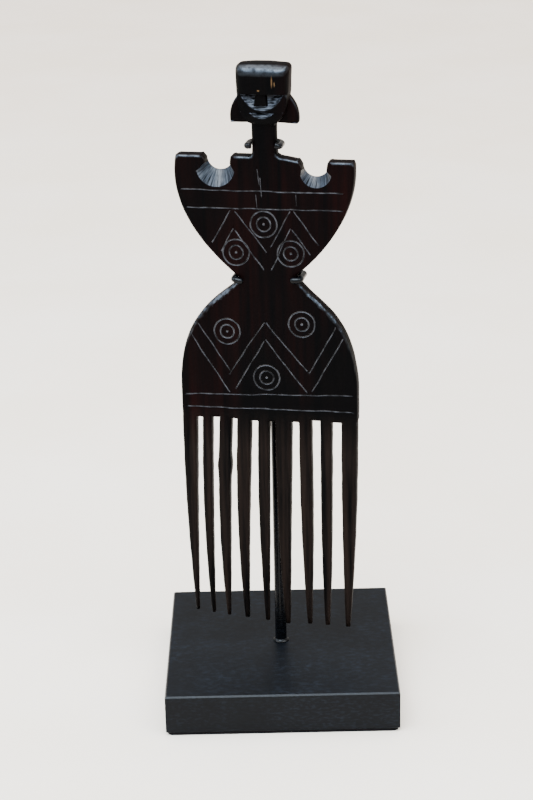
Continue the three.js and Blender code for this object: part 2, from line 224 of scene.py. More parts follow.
def teeth_outline():
    """The lower edge of the comb, from the left side to the right side."""
    pieces = []
    tops = (SLOT_TOP, *(SLOT_TOP - drop for drop in SLOT_DROPS), SLOT_TOP)
    for index in range(len(TEETH)):
        left = tooth_edge(index, -1, tops[index])
        right = tooth_edge(index, 1, tops[index + 1])[::-1]
        if index > 0:
            lift = 0.3 * wander(left[0, 0], 0, 9, 4)
            gap_start = pieces[-1][-1] + (0.15, lift)
            gap_end = left[0] + (-0.15, lift)
            pieces.append(line(gap_start, gap_end, 0.8))
            pieces.append(gap_end[None])
        end = left[-1, 1] - TIP_BEVEL
        blunt = np.array([(left[-1, 0] + 0.2, end), (right[0, 0] - 0.2, end)])
        pieces += [left, blunt, right]
    return np.concatenate(pieces)


def notch_mouth(notch):
    """Where the notch's left and right sides meet the shoulder's top."""
    left, right = notch["splay"]
    return notch["x"] - notch["radius"] - left, notch["x"] + notch["radius"] + right


def notch_outline(notch, top):
    """A U-shaped notch, followed from its right edge to its left edge."""
    x, z, radius = notch["x"], notch["z"], notch["radius"]
    left, right = notch_mouth(notch)
    left_start = x - radius + (left - x + radius) * 0.5 / (top - z)
    return np.concatenate([
        line((right, top), (x + radius, z), 0.5),
        arc((x, z), radius, 0, -180, 25),
        line((left_start, z + 0.5), (left, top), 0.5),
    ])


def ear_outline(side):
    """An ear from the neck outwards and up to the side of the head."""
    reach = 11.2
    end = NECK_X + side * reach
    return np.concatenate([
        line((NECK_X + side * NECK_HALF_WIDTH, CHIN), (end - side * 0.5, CHIN - 0.1), 0.5),
        arc((end - side * 0.5, CHIN + 0.4), 0.5, -90, -90 + side * 70, 4),
        bezier((end, CHIN + 0.6), (end + side * 0.2, CHIN + 3.8), (end - side * 0.7, CHIN + 6.4),
               (NECK_X + side * 8.4, CHIN + 8.7), 18),
    ])


def head_outline():
    """From the neck's right side over the head to the neck's left side."""
    corner = 1.6
    half = 8.8
    crown = 0.25  # the top is this much higher in the middle
    left, right = NECK_X - half, NECK_X + half
    shoulder_z = HEAD_TOP - corner - crown
    top = bezier((right - corner - 0.2, HEAD_TOP - crown), (right - 5, HEAD_TOP + crown / 3),
                 (left + 5, HEAD_TOP + crown / 3), (left + corner + 0.2, HEAD_TOP - crown), 36)
    return np.concatenate([
        ear_outline(1),
        line((NECK_X + 8.4, CHIN + 8.8), (right, shoulder_z), 0.4),
        arc((right - corner, shoulder_z), corner, 0, 86, 8),
        top,
        arc((left + corner, shoulder_z), corner, 94, 180, 8),
        line((left, shoulder_z - 0.4), (NECK_X - 8.4, CHIN + 9), 0.4),
        ear_outline(-1)[::-1],
    ])


def comb_outline():
    """The whole silhouette as one closed path, counterclockwise as seen from the front."""
    left = {"foot": -30.6, "hip": LEVEL - 38.2, "shoulder": -29.7, "top": SHOULDER}
    right = {"foot": 29.7, "hip": LEVEL - 36.4, "shoulder": 28.9, "top": SHOULDER - 1.2}
    left_flat = (-WAIST_HALF_WIDTH, LEVEL - 1.3), (-WAIST_HALF_WIDTH, LEVEL + 0.3)
    right_flat = (WAIST_HALF_WIDTH, LEVEL - 0.5), (WAIST_HALF_WIDTH, LEVEL + 1.5)
    neck_left, neck_right = NECK_X - NECK_HALF_WIDTH, NECK_X + NECK_HALF_WIDTH
    left_notch, right_notch = NOTCHES
    return np.concatenate([
        teeth_outline(),
        line((right["foot"], SLOT_TOP + 0.6), (right["foot"], right["hip"]), 0.8),
        bezier((right["foot"], right["hip"]), (27.7, LEVEL - 11.3), (17.2, LEVEL - 10.1),
               right_flat[0], 60),
        line(*right_flat, 0.5),
        bezier(right_flat[1], (18.5, LEVEL + 8.6), (30.4, LEVEL + 22.5),
               (right["shoulder"], right["top"] - 0.4), 60),
        line((right["shoulder"] - 0.4, right["top"]),
             (notch_mouth(right_notch)[1] + 0.3, right["top"]), 0.6),
        notch_outline(right_notch, right["top"] - 0.3),
        line((notch_mouth(right_notch)[0] - 0.3, right["top"]),
             (neck_right + 0.3, SHOULDER), 0.6),
        line((neck_right, SHOULDER + 0.5), (neck_right, CHIN - 0.2), 0.5),
        head_outline(),
        line((neck_left, CHIN - 0.2), (neck_left, SHOULDER + 0.3), 0.5),
        line((neck_left - 0.3, SHOULDER), (notch_mouth(left_notch)[1] + 0.3, left["top"]), 0.6),
        notch_outline(left_notch, left["top"] - 0.3),
        line((notch_mouth(left_notch)[0] - 0.3, left["top"]),
             (left["shoulder"] + 0.4, left["top"]), 0.6),
        bezier((left["shoulder"], left["top"] - 0.4), (-33.3, LEVEL + 21.5), (-17.3, LEVEL + 6.3),
               left_flat[1], 60),
        line(left_flat[1], left_flat[0], 0.5),
        bezier(left_flat[0], (-17.9, LEVEL - 8.3), (-30.1, LEVEL - 13.1),
               (left["foot"], left["hip"]), 60),
        line((left["foot"], left["hip"]), (left["foot"], SLOT_TOP + 0.6), 0.8),
    ])


# -------------------- the engraving

LINE_HALF = 0.18  # half width of the straight grooves
RING_HALF = 0.24  # half width of the rings' grooves
GROOVE_DEPTH = 0.26
RING_RADII = (4.4, 2.35)
DOT_RADIUS = 0.42
DOT_DEPTH = 0.4

# Centres of the ring-and-dot motifs, with heights from LEVEL.
RINGS = [(x, LEVEL + z) for x, z in (
    (-0.8, 18.4), (-10.2, 8.6), (8.0, 8.8),
    (-14.0, -18.9), (11.3, -15.3), (-0.9, -34.6),
)]

# Straight engraved lines, with heights from LEVEL: two borders above, two below, and the zigzags
# between them.
LINES = [[(x, LEVEL + z) for x, z in ends] for ends in (
    ((-28.1, 29.3), (25.3, 29.4)),
    ((-26.2, 23.3), (25.0, 23.7)),
    ((-28.8, -41.8), (27.8, -39.6)),
    ((-28.4, -46.3), (27.6, -45.4)),
    ((-11.9, 22.5), (-18.2, 11.6)),
    ((-10.2, 22.3), (0.0, 8.9)),
    ((-11.0, 16.6), (-15.3, 8.8)),
    ((-10.3, 16.0), (-1.2, 3.0)),
    ((8.0, 22.9), (1.4, 11.0)),
    ((9.3, 22.9), (17.2, 12.0)),
    ((8.0, 17.1), (1.5, 3.1)),
    ((8.6, 16.9), (14.5, 8.6)),
    ((-26.1, -20.8), (-13.7, -40.5)),
    ((-23.8, -16.5), (-13.3, -32.8)),
    ((-1.4, -15.2), (-13.5, -33.7)),
    ((-0.7, -15.4), (12.8, -31.7)),
    ((-1.5, -21.8), (-11.5, -38.9)),
    ((-1.0, -21.3), (12.7, -39.3)),
    ((25.0, -19.9), (14.4, -38.9)),
    ((22.5, -16.0), (13.7, -32.4)),
)]

# Short, shallow scratches in the face of the upper body.
SCRATCHES = [[(x, LEVEL + z) for x, z in ends] for ends in (
    ((-2.6, 36.6), (-2.0, 31.4)),
    ((-1.7, 33.8), (-1.3, 27.6)),
    ((-3.2, 28.2), (-2.9, 23.9)),
    ((10.0, 28.6), (10.1, 24.9)),
)]
SCRATCH_HALF = 0.12


def groove_paths():
    """Every groove as (path, closed, half width), wavering a little like a hand's."""
    paths = []
    for index, (start, end) in enumerate(LINES):
        path = np.vstack([line(start, end, 1.3), [end]])
        direction = (path[-1] - path[0]) / np.linalg.norm(path[-1] - path[0])
        normal = np.array([-direction[1], direction[0]])
        waver = 0.1 * wander(np.arange(len(path)) * 1.3, 0, 7, index)
        paths.append((path + waver[:, None] * normal, False, LINE_HALF))
    for index, centre in enumerate(RINGS):
        for radius in RING_RADII:
            ring = arc(centre, radius, 0, 360, 41)[:-1]
            waver = 0.05 * wander(ring[:, 0], ring[:, 1], 3, index)
            paths.append((ring + waver[:, None], True, RING_HALF))
    for start, end in SCRATCHES:
        paths.append((np.vstack([line(start, end, 1), [end]]), False, SCRATCH_HALF))
    return paths


def offset_path(path, closed, amount):
    """A path moved sideways by amount, on its own normals."""
    if closed:
        direction = np.roll(path, -1, axis=0) - np.roll(path, 1, axis=0)
    else:
        direction = np.gradient(path, axis=0)
    direction = direction / np.linalg.norm(direction, axis=1)[:, None]
    return path + amount * np.stack([-direction[:, 1], direction[:, 0]], axis=1)


# -------------------- the comb's relief

HEAD_HALF = 5.2  # half of the head's depth
EAR_FRONT = 1.0  # how far the ears reach in front of the middle plane and behind it
EAR_BACK = 2.0


def roundover(gap, radius):
    """How far the surface drops at a distance gap from the outline, for a rounded edge."""
    inner = np.clip(radius - gap, 0, radius)
    return radius - np.sqrt(np.maximum(radius ** 2 - inner ** 2, 0))


def board_half(z):
    """Half thickness of the teeth and the body."""
    t = np.clip((z - TEETH_END) / (SLOT_TOP - TEETH_END), 0, 1)
    tooth = TOOTH_HALF * (1 - 0.65 * (1 - t) ** 2)
    return tooth + (BODY_HALF - tooth) * smoothstep(SLOT_TOP + 0.3, SLOT_TOP + 1.8, z)


def edge_radius(x, z):
    """Radius of the rounded front and back edges."""
    knots = (TEETH_END, TEETH_END + 20, SLOT_TOP, SLOT_TOP + 3, SHOULDER - 1, SHOULDER + 2,
             CHIN - 0.5, CHIN + 0.5, BROW - 1.2, BROW + 0.5, HEAD_TOP)
    radii = (0.5, 0.8, 1.0, 0.9, 0.8, 1.7, 1.7, 0.6, 0.6, 1.7, 2.1)
    radius = np.interp(z, knots, radii) * (1 + 0.12 * wander(x, z, 5, 3))
    for notch in NOTCHES:
        near = np.hypot(x - notch["x"], z - notch["z"])
        radius = np.where(near < notch["radius"] + 1.5, np.minimum(radius, 0.22), radius)
    return radius


def lobe_chamfer(x, z, gap):
    """The flat chamfer along the upper edges of the lower body."""
    on_lobe = smoothstep(LEVEL - 30, LEVEL - 17, z) * smoothstep(LEVEL + 0.5, LEVEL - 2, z)
    uneven = 1 + 0.2 * wander(x, z, 4, 8) + 0.15 * wander(x, z, 1.3, 2)
    return np.clip(np.where(x < 0, 1.0, 0.8) * on_lobe * uneven - gap, 0, None)


def jaw_half_width(z):
    """Half width of the face, which narrows in a U from the brow to the chin."""
    fall = np.clip((BROW - z) / 9.9, 0, 1)
    return 3.6 + 4.7 * np.maximum(1 - fall ** 2.4, 0) ** 0.8


def lip_line(hx):
    """Height of the ridge that runs under the nose and up both cheeks."""
    return CHIN + 4.5 + 4.9 * np.clip(np.abs(hx - 0.1) / 7, 0, 1.2) ** 2.3


LOWER_LIP_HALF = 3.9


def lower_lip_line(hx):
    return CHIN + 1.9 + 1.8 * np.clip(np.abs(hx) / LOWER_LIP_HALF, 0, 1.1) ** 2


MOUTH = 3.8  # height of the slit between the lips, above the chin
NOSE_X = -0.3  # the nose stands a little off the head's middle
NOSE_SPREAD = 0.16  # how much each side of the nose widens per millimetre below the brow
NOSE_HALF = 1.5  # half width of the nose at the brow
NOSE_LENGTH = 3.5  # from the brow down to the nose's tip
NOSE_END = NOSE_LENGTH + 0.25  # where the tip's underside meets the face


def scooped(x, z):
    """Which points lie in the hollows beside the nose or on the bevelled lower lip."""
    hx = x - NECK_X
    on_face = np.abs(hx) < jaw_half_width(z) - 0.15
    hollow = (z > lip_line(hx) + 0.1) & (z < BROW - 0.05)
    nose_half = NOSE_HALF + 0.2 + NOSE_SPREAD * (BROW - z)
    nose = (np.abs(hx - NOSE_X) < nose_half) & (z > BROW - NOSE_END)
    lip = (z > lower_lip_line(hx)) & (z < CHIN + MOUTH) & (np.abs(hx) < LOWER_LIP_HALF)
    return (on_face & hollow & ~nose) | lip


def face_height(x, z):
    """How far the face stands in front of the comb's middle plane, below the brow."""
    hx = x - NECK_X
    sides = 0.7 * (hx / 8) ** 2
    chin = 0.32 * np.clip(CHIN + 2.4 - z, 0, 3)
    ridge = lip_line(hx)
    hollow = np.minimum(0.5 * (z - ridge), 1.9) * (z > ridge)
    height = 4.7 - sides - chin - hollow
    lower_edge = lower_lip_line(hx)
    on_lip = (z > lower_edge) & (z < CHIN + MOUTH)
    height = height - 0.7 * np.clip(z - lower_edge, 0, 3) * on_lip
    upper = smoothstep(CHIN + MOUTH, CHIN + MOUTH + 0.25, z)
    overhang = (z >= CHIN + MOUTH) & (z < ridge)
    slit = 3.5  # how far forward the floor of the slit stands
    height = np.where(overhang, slit + (height - slit) * upper, height)
    below_brow = BROW - z
    nose = 4.6 + 0.05 * below_brow
    beside = np.abs(hx - NOSE_X) - NOSE_HALF - NOSE_SPREAD * below_brow
    in_nose = smoothstep(0.22, 0, beside) * smoothstep(NOSE_END, NOSE_LENGTH, below_brow)
    return height + np.maximum(nose - height, 0) * in_nose


def crown_half(x):
    """Half depth of the upper head, whose corners are well rounded as seen from above."""
    out = np.abs(x - NECK_X) / 9
    return HEAD_HALF - 0.3 * out ** 2 - 1.5 * out ** 6


def head_front(x, z):
    """Height of the head's front: forehead, face and ears."""
    hx = x - NECK_X
    crown = crown_half(x) - 0.16 * np.clip(z - HEAD_TOP + 4, 0, 3.6) ** 1.6
    on_face = smoothstep(0.2, -0.2, np.abs(hx) - jaw_half_width(z))
    low = EAR_FRONT + (face_height(x, z) - EAR_FRONT) * on_face
    return low + (crown - low) * smoothstep(BROW - 0.08, BROW + 0.08, z)


def head_back(x, z):
    """Depth of the head's back, which tapers to the neck behind the ears."""
    hx = x - NECK_X
    nape = 1.7 + 3.2 * smoothstep(CHIN, BROW + 1, z)
    narrow = smoothstep(0.5, -0.5, np.abs(hx) - jaw_half_width(z) * 0.92)
    low = EAR_BACK + (nape - EAR_BACK) * narrow
    return low + (crown_half(x) - low) * smoothstep(BROW - 1.2, BROW + 0.6, z)


def bevel_height(x, z, notch):
    """Height of a notch's bevel above the middle plane, and nothing (infinity) outside it."""
    back = np.array([notch["x"], notch["z"]])
    slant = np.array([notch["front_x"], notch["front_z"]]) - back
    widen = notch["front_radius"] - notch["radius"]
    px, pz = x - back[0], z - back[1]
    a = slant @ slant - widen ** 2
    b = -2 * (px * slant[0] + pz * slant[1] + notch["radius"] * widen)
    c = px ** 2 + pz ** 2 - notch["radius"] ** 2
    inner = b * b - 4 * a * c
    closing = np.sqrt(np.maximum(inner, 0)) - b
    reached = (inner >= 0) & (closing > 0)
    t = np.where(reached, 2 * c / np.where(reached, closing, 1), 2)
    t = np.clip(t, 0, 2)
    edge = 0.4  # thickness left at the back face
    height = -BODY_HALF + edge + t * (2 * BODY_HALF - edge)
    end = back[1] + t * slant[1] - NOTCH_END
    steepness = 30  # how sharply the bevel stops at its two ends
    return np.where(t < 1, height + np.maximum(z - end, 0) * steepness, np.inf)


def front_height(x, z, gap):
    """Height of the front surface above the middle plane."""
    half = board_half(z)
    head = smoothstep(CHIN - 0.15, CHIN + 0.15, z)
    height = half + (head_front(x, z) - half) * head
    height = height + 0.05 * wander(x, z, 11, 1) * smoothstep(0, 2, gap)
    height = height - np.maximum(roundover(gap, edge_radius(x, z)), lobe_chamfer(x, z, gap))
    for notch in NOTCHES:
        height = np.minimum(height, bevel_height(x, z, notch))
    return height


def back_height(x, z, gap):
    """Depth of the back surface behind the middle plane."""
    half = board_half(z)
    nape = NECK_DEPTH - BODY_HALF
    half = half + (nape - half) * smoothstep(SHOULDER + 0.5, SHOULDER + 2.5, z)
    head = smoothstep(CHIN - 0.4, CHIN + 0.4, z)
    depth = half + (head_back(x, z) - half) * head
    depth = depth + 0.06 * wander(x, z, 9, 5) * smoothstep(0, 2, gap)
    return depth - roundover(gap, edge_radius(x, z))


# -------------------- the comb's mesh

EDGE_ROWS = (0.12, 0.35, 0.7, 1.1)  # distances from the outline of the rows that follow it
FRONT_SPACING = 1.15, 0.34  # steps of the grid below the chin and in the head
BACK_SPACING = 1.6, 0.6
GRID_INSET = 1.35  # the grid keeps this far from the outline
GROOVE_ROOM = 0.12  # loose points keep this far from a groove's edges
CREASE_ROOM = 0.2
THINNEST = 0.3  # least thickness at the outline


def scatter(outline, edge, spacing, head_spacing, keep_clear):
    """Points inside the outline: rows that follow the edges, and a staggered grid between them."""
    rings = np.concatenate([offset_path(outline, True, amount) for amount in EDGE_ROWS])
    amounts = np.repeat(EDGE_ROWS, len(outline))
    keep = inside(rings, outline)
    rings, amounts = rings[keep], amounts[keep]
    rings = rings[distance(rings, edge) > 0.9 * amounts]

    grids = []
    for low, high, step in ((TEETH_END, CHIN - 1, spacing), (CHIN - 1, HEAD_TOP, head_spacing)):
        z = np.arange(low, high, step * 0.87)
        for row, level in enumerate(z):
            x = np.arange(-31, 31, step) + (row % 2) * step / 2
            grids.append(np.stack([x, np.full_like(x, level)], axis=1))
    grid = np.concatenate(grids)
    grid = grid[inside(grid, outline)]
    grid = grid[distance(grid, edge) > GRID_INSET]
    points = np.concatenate([rings, grid])
    for pieces, room in keep_clear:
        points = points[distance(points, pieces) > room]
    return points


def face_creases():
    """Lines in the front of the head where its planes meet."""
    creases = []
    for offset in (-0.09, 0.09):
        creases.append(line((NECK_X - 8.2, BROW + offset), (NECK_X + 8.2, BROW + offset), 0.5))
    hx = np.linspace(-6.9, 7, 28)
    creases.append(np.stack([NECK_X + hx, lip_line(hx)], axis=1))
    hx = np.linspace(-LOWER_LIP_HALF, LOWER_LIP_HALF, 17)
    creases.append(np.stack([NECK_X + hx, lower_lip_line(hx)], axis=1))
    for offset in (-0.04, 0.25):
        level = CHIN + MOUTH + offset
        creases.append(line((NECK_X - 3.9, level), (NECK_X + 3.9, level), 0.4))
    z = np.linspace(BROW - 1.4, CHIN + 0.5, 40)  # starts low enough to stay inside the ears
    for side in (-1, 1):
        for offset in (-0.2, 0.2):
            creases.append(np.stack([NECK_X + side * (jaw_half_width(z) + offset), z], axis=1))
    nose_middle = NECK_X + NOSE_X
    for side in (-1, 1):
        for offset in (0.02, 0.22):
            z = np.linspace(BROW - 0.1, BROW - NOSE_LENGTH, 12)
            nose_half = NOSE_HALF + NOSE_SPREAD * (BROW - z) + offset
            creases.append(np.stack([nose_middle + side * nose_half, z], axis=1))
    for drop in (NOSE_LENGTH, NOSE_END):
        creases.append(line((nose_middle - 2, BROW - drop), (nose_middle + 2.1, BROW - drop), 0.4))
    return [(path, False) for path in creases]


def bevel_creases():
    """The front edge and the two ends of each notch's bevel."""
    creases = []
    for notch in NOTCHES:
        front = (notch["front_x"], notch["front_z"])
        drop = math.degrees(math.asin(NOTCH_END / notch["front_radius"]))
        creases.append(arc(front, notch["front_radius"], -drop, drop - 180, 26))
        for side in (-1, 1):
            back_reach = math.sqrt(notch["radius"] ** 2 - NOTCH_END ** 2) + 0.1
            front_reach = math.sqrt(notch["front_radius"] ** 2 - NOTCH_END ** 2)
            start = (notch["x"] + side * back_reach, notch["z"] - NOTCH_END)
            end = (front[0] + side * front_reach, front[1] - NOTCH_END)
            path = np.vstack([line(start, end, 0.4), [end]])
            creases += [path, path + (0, 0.14)]
    return [(path, False) for path in creases]


def triangulate(outline, points, paths):
    """Triangles over the outline that keep every path as mesh edges.

    Returns the corners, the triangles and the corner of each outline point."""
    coords = [outline, points]
    edges = [(i, (i + 1) % len(outline)) for i in range(len(outline))]
    count = len(outline) + len(points)
    for path, closed in paths:
        edges += [(count + i, count + i + 1) for i in range(len(path) - 1)]
        if closed:
            edges.append((count + len(path) - 1, count))
        coords.append(path)
        count += len(path)
    flat = [Vector(p) for p in np.concatenate(coords)]
    inner_triangles = 1
    corners, _, faces, origins, _, _ = delaunay_2d_cdt(flat, edges, [], inner_triangles, 1e-5)
    rim = {source: index for index, sources in enumerate(origins) for source in sources}
    corners = np.array([(c.x, c.y) for c in corners])
    return corners, faces, [rim[i] for i in range(len(outline))]


# Places where a tan fleck of sapwood shows: its centre, half width and half height.
FLECKS = (
    ((3.25, BROW + 4.1), 0.32, 2.2),
    ((4.1, BROW + 3.4), 0.14, 1.0),
    ((-1.1, BROW + 1.3), 0.5, 0.3),
)
FLECK_DEPTH = 5  # how far behind the forehead a fleck fades out

WOOD, ENGRAVED, FILED, SCOOPED = range(4)  # material slots of the comb


def groove_segments():
    """The segments of every groove, by the grooves' half width."""
    grooves = {}
    for path, closed, half in groove_paths():
        grooves.setdefault(half, []).append(segments(path, closed))
    return {half: joined(pairs) for half, pairs in grooves.items()}


def dot_distance(points):
    """Distance from each point to the nearest ring's centre."""
    return np.min([np.hypot(points[:, 0] - x, points[:, 1] - z) for x, z in RINGS], axis=0)


def carved_front(outline, edge, grooves):
    """The front's corners, triangles, outline corners and heights above the middle plane."""
    paths = [(arc(centre, DOT_RADIUS, 0, 360, 11)[:-1], True) for centre in RINGS]
    for path, closed, half in groove_paths():
        paths.append((path, closed))
        paths += [(offset_path(path, closed, side * half), closed) for side in (-1, 1)]
    creases = face_creases() + bevel_creases()
    clear = [(pieces, half + GROOVE_ROOM) for half, pieces in grooves.items()]
    clear.append((joined(segments(path, False) for path, _ in creases), CREASE_ROOM))
    points = scatter(outline, edge, *FRONT_SPACING, clear)
    corners, faces, rim = triangulate(outline, np.concatenate([points, RINGS]), paths + creases)

    height = front_height(*corners.T, distance(corners, edge))
    for half, pieces in grooves.items():
        inwards = np.clip(1 - distance(corners, pieces) / half, 0, 1)
        height = height - GROOVE_DEPTH * half / LINE_HALF * inwards
    height = height - DOT_DEPTH * np.clip(1 - dot_distance(corners) / DOT_RADIUS, 0, 1)
    return corners, faces, rim, height


def front_slots(corners, faces, grooves):
    """The material slot of each triangle of the front."""
    centres = np.array([corners[list(face)].mean(axis=0) for face in faces])
    cut = dot_distance(centres) < DOT_RADIUS * 0.9
    for half, pieces in grooves.items():
        cut |= distance(centres, pieces) < half
    filed = np.zeros(len(faces), bool)
    for notch in NOTCHES:
        filed |= bevel_height(*centres.T, notch) < BODY_HALF
    slots = np.where(cut, ENGRAVED, np.where(filed, FILED, WOOD))
    slots[scooped(*centres.T)] = SCOOPED
    return slots


def comb_mesh():
    """The whole comb as one closed mesh: a carved front, a plain back and the walls between."""
    outline = comb_outline()
    edge = segments(outline, closed=True)
    grooves = groove_segments()
    corners, faces, rim, height = carved_front(outline, edge, grooves)

    back_points = scatter(outline, edge, *BACK_SPACING, [])
    back_corners, back_faces, back_rim = triangulate(outline, back_points, [])
    depth = back_height(*back_corners.T, distance(back_corners, edge))

    height[rim] = np.maximum(height[rim], THINNEST - depth[back_rim])
    front = np.stack([corners[:, 0], MIDDLE_Y - height, corners[:, 1]], axis=1)
    rear = np.stack([back_corners[:, 0], MIDDLE_Y + depth, back_corners[:, 1]], axis=1)
    shift = len(front)
    triangles = [tuple(face) for face in faces]
    triangles += [tuple(shift + i for i in reversed(face)) for face in back_faces]
    walls = []
    for i in range(len(rim)):
        j = (i + 1) % len(rim)
        walls.append((rim[i], shift + back_rim[i], shift + back_rim[j], rim[j]))

    mesh = bpy.data.meshes.new("comb_carving")
    mesh.from_pydata((np.concatenate([front, rear]) * MM).tolist(), [], triangles + walls)
    slots = np.full(len(mesh.polygons), WOOD, np.int32)
    slots[:len(faces)] = front_slots(corners, faces, grooves)
    mesh.polygons.foreach_set("material_index", slots)
    return mesh


def tidy_mesh(mesh, sharp_degrees):
    """Faces outwards, smooth shading, and hard edges where the surface turns sharply."""
    work = bmesh.new()
    work.from_mesh(mesh)
    bmesh.ops.remove_doubles(work, verts=work.verts, dist=1e-7)
    bmesh.ops.recalc_face_normals(work, faces=work.faces)
    work.to_mesh(mesh)
    work.free()
    mesh.shade_smooth()
    mesh.set_sharp_from_angle(angle=math.radians(sharp_degrees))


def add_object(name, data):
    """A new object in the scene that holds a mesh, a light or a camera."""
    item = bpy.data.objects.new(name, data)
    bpy.context.scene.collection.objects.link(item)
    return item


def add_piece(name, mesh, body, node):
    """Places a mesh, turned with the comb, as a piece that rides on a body for a CAD node."""
    piece = add_object(name, mesh)
    piece.rotation_euler = (0, 0, -COMB_TURN)
    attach(piece, body)
    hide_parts(node)


# -------------------- the claws and the rod

WIRE_RADIUS = (neck_wire_high[2] - neck_wire_low[2]) / 2
WIRE_FRONT = waist_wire_low[1] + WIRE_RADIUS  # y of the wire's centre in front of the comb
WIRE_BACK = waist_wire_high[1] - WIRE_RADIUS
ROD_RADIUS = 2
WIRE_SIDES = 16
WIRE_STEP = 0.3  # about how far apart the points along a wire are
WIRE_BEND = 1.4  # how far before a corner a wire starts to bend


def bent_path(corners):
    """A wire's middle line from corner to corner, with its inner corners rounded off."""
    corners = [np.array(corner, float) for corner in corners]
    pieces = []
    start = corners[0]
    for corner, after in zip(corners[1:-1], corners[2:]):
        entry = corner + (start - corner) / np.linalg.norm(start - corner) * WIRE_BEND
        leave = corner + (after - corner) / np.linalg.norm(after - corner) * WIRE_BEND
        pieces.append(line(start, entry, WIRE_STEP))
        t = np.linspace(0, 1, 8, endpoint=False)[:, None]
        pieces.append((1 - t) ** 2 * entry + 2 * t * (1 - t) * corner + t * t * leave)
        start = leave
    pieces.append(line(start, corners[-1], WIRE_STEP))
    pieces.append(corners[-1][None])
    return np.concatenate(pieces)


def claw_mesh(name, middle, height, slant, droop, arm):
    """A round wire with rounded ends that swells where it is brazed to the rod.

    arm lists the right arm's (side, y) corners from the tip to the rod, slant is how much higher
    the right arm stands than the middle, and droop is how far each tip hangs down."""
    reach = max(side for side, _ in arm)
    left = [(middle - side, y, height - slant * side / reach) for side, y in arm]
    right = [(middle + side, y, height + slant * side / reach) for side, y in arm]
    left[0] = (*left[0][:2], left[0][2] - droop[0])
    right[0] = (*right[0][:2], right[0][2] - droop[1])
    path = bent_path(left + right[::-1])
    forward = np.gradient(path, axis=0)
    forward /= np.linalg.norm(forward, axis=1)[:, None]

    along = np.linspace(-1, 1, len(path))
    radius = WIRE_RADIUS * (1 + 0.025 * wander(along * 30, 0, 4, height))
    brazing = 0.5 * np.exp(-((path[:, 0] - middle) / 1.4) ** 2)
    radius = radius + brazing * (np.abs(along) < 0.5)
    cap = np.radians((80, 60, 40, 20))
    starts = path[0] - forward[0] * (radius[0] * np.sin(cap))[:, None]
    ends = path[-1] + forward[-1] * (radius[-1] * np.sin(cap[::-1]))[:, None]
    centres = np.concatenate([starts, path, ends])
    axes = np.concatenate([np.repeat(forward[:1], 4, 0), forward, np.repeat(forward[-1:], 4, 0)])
    radii = np.concatenate([radius[0] * np.cos(cap), radius, radius[-1] * np.cos(cap[::-1])])

    side = np.cross(axes, (0, 0, 1))
    side /= np.linalg.norm(side, axis=1)[:, None]
    up = np.cross(side, axes)
    turn = np.linspace(0, 2 * math.pi, WIRE_SIDES, endpoint=False)
    spokes = np.cos(turn)[None, :, None] * side[:, None] + np.sin(turn)[None, :, None] * up[:, None]
    rings = centres[:, None] + radii[:, None, None] * spokes
    tips = np.stack([path[0] - forward[0] * radius[0], path[-1] + forward[-1] * radius[-1]])
    return ringed_mesh(name, rings, tips)


def ringed_mesh(name, rings, tips):
    """A closed mesh through rings of points, closed by a point at each end."""
    count, sides = rings.shape[:2]
    points = np.concatenate([rings.reshape(-1, 3), tips])
    faces = []
    for near in range(0, (count - 1) * sides, sides):
        far = near + sides
        for i in range(sides):
            j = (i + 1) % sides
            faces.append((near + i, near + j, far + j, far + i))
    first, last = count * sides, count * sides + 1
    for i in range(sides):
        j = (i + 1) % sides
        faces.append((first, j, i))
        faces.append((last, (count - 1) * sides + i, (count - 1) * sides + j))
    mesh = bpy.data.meshes.new(name)
    mesh.from_pydata((points * MM).tolist(), [], faces)
    return mesh


def turned_mesh(name, profile, sides):
    """A solid of revolution about z, whose (radius, height) pairs start and end on the axis."""
    turn = np.linspace(0, 2 * math.pi, sides, endpoint=False)
    rings = [
        np.stack([radius * np.cos(turn), radius * np.sin(turn), np.full(sides, height)], axis=1)
        for radius, height in profile[1:-1]
    ]
    tips = np.array([(0, 0, profile[0][1]), (0, 0, profile[-1][1])])
    return ringed_mesh(name, np.array(rings), tips)


def rod_mesh():
    """The rod with its stud, a small hollow-sided flare on the block and a slightly domed top."""
    stud_radius = 1.5
    bottom, top = rod_low[2], rod_high[2]
    foot_radius = rod_high[0]
    foot = block_high[2] + 0.1
    seat = block_high[2] - 5
    flare = [
        (ROD_RADIUS + (foot_radius - ROD_RADIUS) * (1 - t) ** 2, foot + 0.2 + 0.8 * t)
        for t in np.linspace(0, 1, 7)
    ]
    profile = [
        (0, bottom), (stud_radius - 0.3, bottom), (stud_radius, bottom + 0.3), (stud_radius, seat),
        (ROD_RADIUS, seat), (ROD_RADIUS, foot), (foot_radius - 0.05, foot), *flare,
        (ROD_RADIUS, foot + 60), (ROD_RADIUS, foot + 120), (ROD_RADIUS, top - 0.5),
        (ROD_RADIUS - 0.15, top - 0.2), (ROD_RADIUS - 0.5, top - 0.05), (0, top),
    ]
    return turned_mesh("rod", profile, 32)


# -------------------- materials

